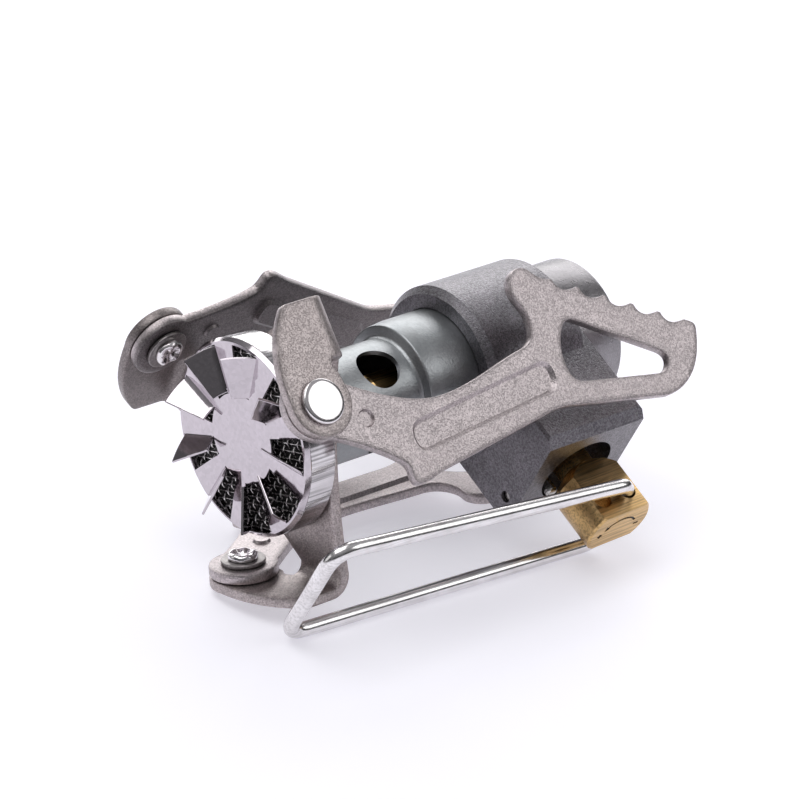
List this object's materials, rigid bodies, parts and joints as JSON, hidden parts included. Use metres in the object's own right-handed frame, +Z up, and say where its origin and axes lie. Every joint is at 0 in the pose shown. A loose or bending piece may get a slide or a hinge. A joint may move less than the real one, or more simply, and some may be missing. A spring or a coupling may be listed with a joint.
{
  "type": "folding canister-top camping stove",
  "caption": "Compact folding gas stove head: round burner with bent flame flaps, toothed pivoting pot supports, valve body with brass knob and folding wire handle.",
  "frame": {"origin": "middle of the footprint, on the surface that the folded stove lies on", "axes": "+X from the burner face towards the canister connector, along the longest extent; +Z up; the stove lies on its wire handle and one pot support"},
  "size_m": [0.0716, 0.057, 0.0455],
  "materials": {
    "stainless_polished": "polished stainless steel",
    "cap_steel": "mirror-bright stamped stainless steel",
    "mesh_steel": "woven stainless wire",
    "bracket_steel": "bead-blasted stainless sheet",
    "support_steel": "bead-blasted stainless sheet",
    "rivet_steel": "polished",
    "washer_steel": "plain",
    "tube_plated": "satin, cool grey",
    "body_blasted": "bead-blasted, dark grey",
    "connector_satin": "satin turned",
    "brass": "brushed brass",
    "filter_bronze": "sintered bronze",
    "seal_rubber": "matt black",
    "spindle_steel": "turned steel"
  },
  "bodies": {
    "stove_head": {"burner_cup": "stainless_polished", "burner_cap": "cap_steel", "burner_mesh": "mesh_steel", "mesh_ring": "washer_steel", "support_bracket": "bracket_steel", "burner_tube": "tube_plated", "gas_jet": "brass", "valve_body": "body_blasted", "lock_pin": "spindle_steel", "gas_filter": "filter_bronze", "canister_connector": "connector_satin", "canister_seal": "seal_rubber", "canister_pin": "brass", "spindle_seal_inner": "seal_rubber", "spindle_seal_outer": "seal_rubber", "gland_nut": "brass", "stop_pin": "spindle_steel", "rivet_a": "rivet_steel", "rivet_washer_a": "washer_steel", "rivet_b": "rivet_steel", "rivet_washer_b": "washer_steel", "rivet_c": "rivet_steel", "rivet_washer_c": "washer_steel"},
    "support_a": {"pot_support_a": "support_steel"},
    "support_b": {"pot_support_b": "support_steel"},
    "support_c": {"pot_support_c": "support_steel"},
    "valve_knob": {"control_knob": "brass", "valve_spindle": "spindle_steel"},
    "handle": {"wire_handle": "stainless_polished"}
  },
  "joints": [
    {"name": "support_a_fold", "type": "hinge", "parent": "stove_head", "child": "support_a", "pos_m": [-0.03015, -0.01399, 0.03314], "axis": [-0.002, 0.787, -0.6169], "range_deg": [-32, 238.5]},
    {"name": "support_b_fold", "type": "hinge", "parent": "stove_head", "child": "support_b", "pos_m": [-0.03016, 0.01827, 0.02995], "axis": [-0.0012, -0.9278, -0.3731], "range_deg": [-7, 263.5]},
    {"name": "support_c_fold", "type": "hinge", "parent": "stove_head", "child": "support_c", "pos_m": [-0.03025, -0.00062, 0.00361], "axis": [0.0032, 0.1408, 0.99], "range_deg": [0, 233.5]},
    {"name": "valve_turn", "type": "hinge", "parent": "stove_head", "child": "valve_knob", "pos_m": [0.01497, -0.0234, 0.00877], "axis": [-0.0015, -0.8796, -0.4757], "range_deg": [0, 450]},
    {"name": "handle_swing", "type": "hinge", "parent": "valve_knob", "child": "handle", "pos_m": [0.01717, -0.02416, 0.00847], "axis": [-0.0443, -0.4752, 0.8787], "range_deg": [0, 180]}
  ],
  "couplings": [
    {"joint": "support_c_fold", "follows": "handle_swing", "ratio": 1.2972}
  ]
}
